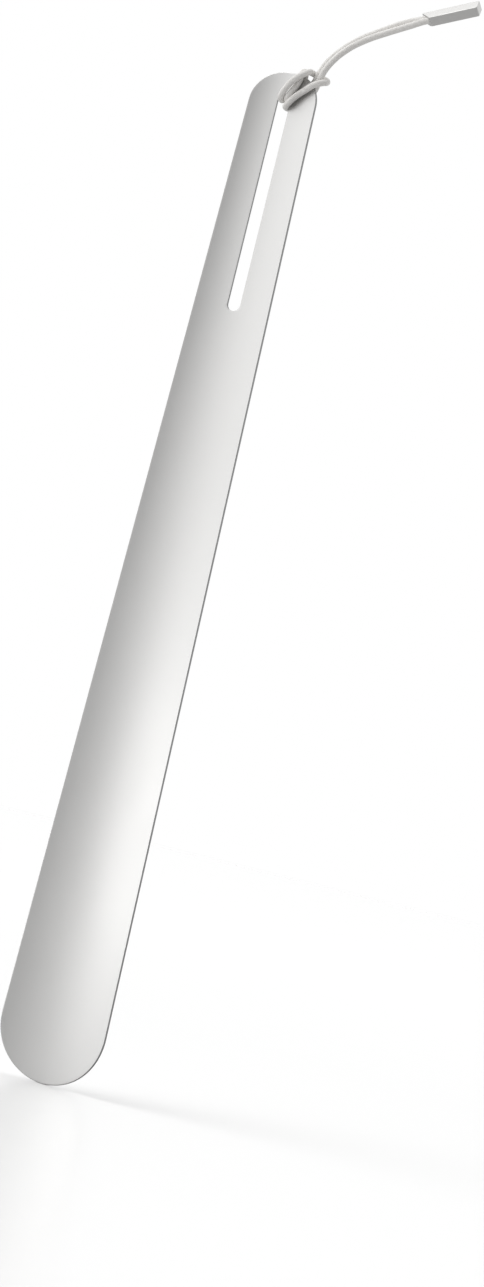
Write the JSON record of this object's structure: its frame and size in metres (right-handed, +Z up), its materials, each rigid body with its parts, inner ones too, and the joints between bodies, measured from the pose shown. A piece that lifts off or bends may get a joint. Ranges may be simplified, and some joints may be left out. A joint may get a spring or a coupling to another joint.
{
  "type": "long shoehorn",
  "caption": "Long one-piece metal shoehorn with a rounded blade, a slim handle with a long slot, and a short cord loop with a metal end bar.",
  "frame": {"origin": "upper end of the slot, at mid-thickness of the sheet on its centre line", "axes": "+Z up the handle away from the blade, +X across the sheet towards the side where the cord loop hangs, -Y out of the hollow face"},
  "size_m": [0.1048, 0.0127, 0.492],
  "materials": {
    "sheet": "satin, finely blasted",
    "cord": "round braid",
    "bar": "satin",
    "sleeve": "plain drawn"
  },
  "bodies": {
    "shoehorn": {"sheet_blade": "sheet", "cord_hitch": "cord"},
    "loop": {"cord_run_rear": "cord", "cord_run_front": "cord", "end_bar": "bar", "crimp_sleeve": "sleeve"}
  },
  "joints": [
    {"name": "loop_swing", "type": "hinge", "parent": "shoehorn", "child": "loop", "pos_m": [0.019, 0, 0.02], "axis": [0, 1, 0], "range_deg": [-35, 45], "stiffness_Nm_per_rad": 0.02, "springref_deg": -2.58}
  ]
}
